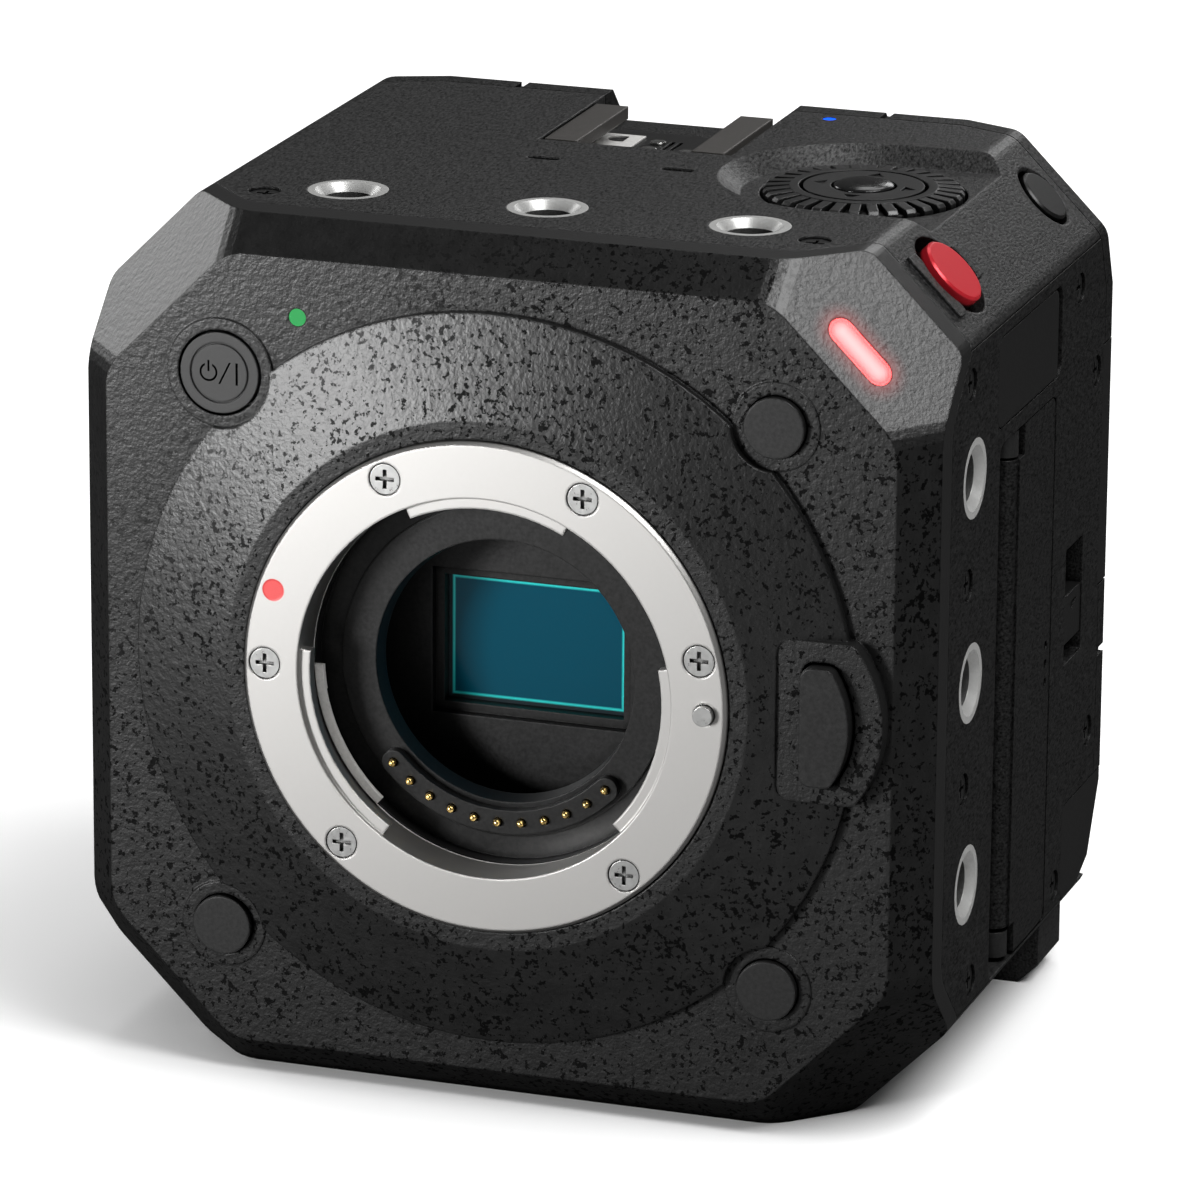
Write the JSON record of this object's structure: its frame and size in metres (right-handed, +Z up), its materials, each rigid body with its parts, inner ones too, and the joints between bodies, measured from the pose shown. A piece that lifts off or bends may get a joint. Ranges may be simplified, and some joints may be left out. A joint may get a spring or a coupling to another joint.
{
  "type": "box camera",
  "caption": "Cube-shaped camera body with chamfered edges, an open bayonet lens mount, a control dial, an accessory shoe and threaded inserts on its sides.",
  "frame": {"origin": "centre of the bounding box, at the base", "axes": "+Z up, the lens side faces -Y, +X is to the right seen from the front"},
  "size_m": [0.093, 0.0788, 0.093],
  "materials": {
    "front_paint": "speckled satin paint",
    "cover_paint": "fine satin paint",
    "panel_paint": "satin",
    "mount_steel": "satin",
    "screw_steel": "satin",
    "black_steel": "satin",
    "spring_steel": "satin",
    "black_plastic": "matt",
    "grey_plastic": "satin",
    "red_metal": "gloss",
    "red_lens": "glowing",
    "green_lens": "glowing",
    "blue_lens": "glowing",
    "black_rubber": "matt",
    "filter_glass": "clear",
    "sensor_chip": "gloss",
    "circuit_board": "satin",
    "cast_frame": "cast",
    "sink_metal": "matt",
    "contact_gold": "plated",
    "plated_metal": "plated"
  },
  "bodies": {
    "camera": {"front_cover": "front_paint", "top_cover": "cover_paint", "right_panel": "panel_paint", "left_panel": "panel_paint", "bottom_cover": "cover_paint", "rear_cover": "panel_paint", "chassis": "cast_frame", "thread_inserts": "screw_steel", "case_screws": "black_steel", "mount_ring": "mount_steel", "mount_screws": "screw_steel", "mount_spring": "spring_steel", "mount_baffle": "black_plastic", "contact_block": "black_plastic", "sensor_frame": "black_plastic", "sensor_glass": "filter_glass", "image_sensor": "sensor_chip", "sensor_board": "circuit_board", "power_lamp": "green_lens", "tally_lamp": "red_lens", "network_lamp": "blue_lens", "front_caps": "black_rubber", "dial_axle": "spring_steel", "shoe_base": "black_plastic", "shoe_rails": "spring_steel", "shoe_spring": "spring_steel", "shoe_contacts": "contact_gold", "remote_jack": "black_plastic", "card_hinge_pin": "black_steel", "card_slots": "plated_metal", "dc_jack": "black_plastic", "lan_jack": "plated_metal", "hdmi_jack": "plated_metal", "usb_jack": "plated_metal", "audio_jacks": "black_plastic", "coax_jacks": "plated_metal", "battery_contacts": "contact_gold", "main_board": "circuit_board", "heat_sink": "sink_metal", "fan_frame": "black_plastic"},
    "power_button": {"power_button": "front_paint"},
    "release_button": {"release_button": "grey_plastic"},
    "lock_pin": {"lock_pin": "screw_steel"},
    "contact_pins": {"contact_pins": "contact_gold"},
    "control_dial": {"control_dial": "black_plastic"},
    "cursor_pad": {"cursor_pad": "black_plastic"},
    "menu_button": {"menu_button": "black_plastic"},
    "rec_button": {"rec_button": "red_metal"},
    "cancel_button": {"cancel_button": "black_plastic"},
    "function_button": {"function_button": "black_plastic"},
    "quick_button": {"quick_button": "black_plastic"},
    "playback_button": {"playback_button": "black_plastic"},
    "card_door": {"card_door": "panel_paint"},
    "door_latch": {"door_latch": "black_plastic"},
    "remote_cover": {"remote_cover": "black_rubber"},
    "dc_cover": {"dc_cover": "black_rubber"},
    "port_cover": {"port_cover": "black_rubber"},
    "battery_latch": {"battery_latch": "black_plastic"},
    "fan_rotor": {"fan_rotor": "black_plastic"}
  },
  "joints": [
    {"name": "power_press", "type": "slide", "parent": "camera", "child": "power_button", "axis": [0, 1, 0], "range_m": [0, 0.0006], "stiffness_N_per_m": 800},
    {"name": "release_press", "type": "slide", "parent": "camera", "child": "release_button", "axis": [0, 1, 0], "range_m": [0, 0.0015], "stiffness_N_per_m": 800},
    {"name": "lock_draw", "type": "slide", "parent": "camera", "child": "lock_pin", "axis": [0, 1, 0], "range_m": [0, 0.0015], "stiffness_N_per_m": 800},
    {"name": "contacts_press", "type": "slide", "parent": "camera", "child": "contact_pins", "axis": [0, 1, 0], "range_m": [0, 0.0005], "stiffness_N_per_m": 1500},
    {"name": "dial_turn", "type": "hinge", "parent": "camera", "child": "control_dial", "pos_m": [0.0269, 0.00495, 0.0905], "axis": [0, 0, 1], "continuous": true},
    {"name": "pad_rock", "type": "hinge", "parent": "camera", "child": "cursor_pad", "pos_m": [0.0269, 0.00495, 0.09155], "axis": [1, 0, 0], "range_deg": [-2, 2], "stiffness_Nm_per_rad": 0.5},
    {"name": "menu_press", "type": "slide", "parent": "camera", "child": "menu_button", "axis": [0, 0, -1], "range_m": [0, 0.0005], "stiffness_N_per_m": 800},
    {"name": "rec_press", "type": "slide", "parent": "camera", "child": "rec_button", "axis": [-0.7071, 0, -0.7071], "range_m": [0, 0.0008], "stiffness_N_per_m": 800},
    {"name": "cancel_press", "type": "slide", "parent": "camera", "child": "cancel_button", "axis": [-0.7071, 0, -0.7071], "range_m": [0, 0.0006], "stiffness_N_per_m": 800},
    {"name": "function_press", "type": "slide", "parent": "camera", "child": "function_button", "axis": [0.7071, 0, -0.7071], "range_m": [0, 0.0006], "stiffness_N_per_m": 800},
    {"name": "quick_press", "type": "slide", "parent": "camera", "child": "quick_button", "axis": [0.7071, 0, -0.7071], "range_m": [0, 0.0006], "stiffness_N_per_m": 800},
    {"name": "playback_press", "type": "slide", "parent": "camera", "child": "playback_button", "axis": [0.7071, 0, -0.7071], "range_m": [0, 0.0006], "stiffness_N_per_m": 800},
    {"name": "door_swing", "type": "hinge", "parent": "camera", "child": "card_door", "pos_m": [0.0447, -0.00165, 0.0465], "axis": [0, 0, -1], "range_deg": [0, 100]},
    {"name": "latch_slide", "type": "slide", "parent": "camera", "child": "door_latch", "axis": [0, 0, -1], "range_m": [0, 0.002], "stiffness_N_per_m": 300},
    {"name": "remote_flap", "type": "hinge", "parent": "camera", "child": "remote_cover", "pos_m": [0.04645, -0.0106, 0.0762], "axis": [0, 0, -1], "range_deg": [0, 110]},
    {"name": "dc_flap", "type": "hinge", "parent": "camera", "child": "dc_cover", "pos_m": [0.04645, 0.0186, 0.0158], "axis": [0, 0, -1], "range_deg": [0, 100]},
    {"name": "port_flap", "type": "hinge", "parent": "camera", "child": "port_cover", "pos_m": [0.026, 0.03435, 0.0565], "axis": [0, 0, 1], "range_deg": [0, 80]},
    {"name": "battery_release", "type": "slide", "parent": "camera", "child": "battery_latch", "axis": [1, 0, 0], "range_m": [0, 0.004], "stiffness_N_per_m": 300},
    {"name": "fan_spin", "type": "hinge", "parent": "camera", "child": "fan_rotor", "pos_m": [-0.01468, 0.00505, 0.0465], "axis": [0, 1, 0], "continuous": true}
  ],
  "couplings": [
    {"joint": "lock_draw", "follows": "release_press", "ratio": 1}
  ]
}
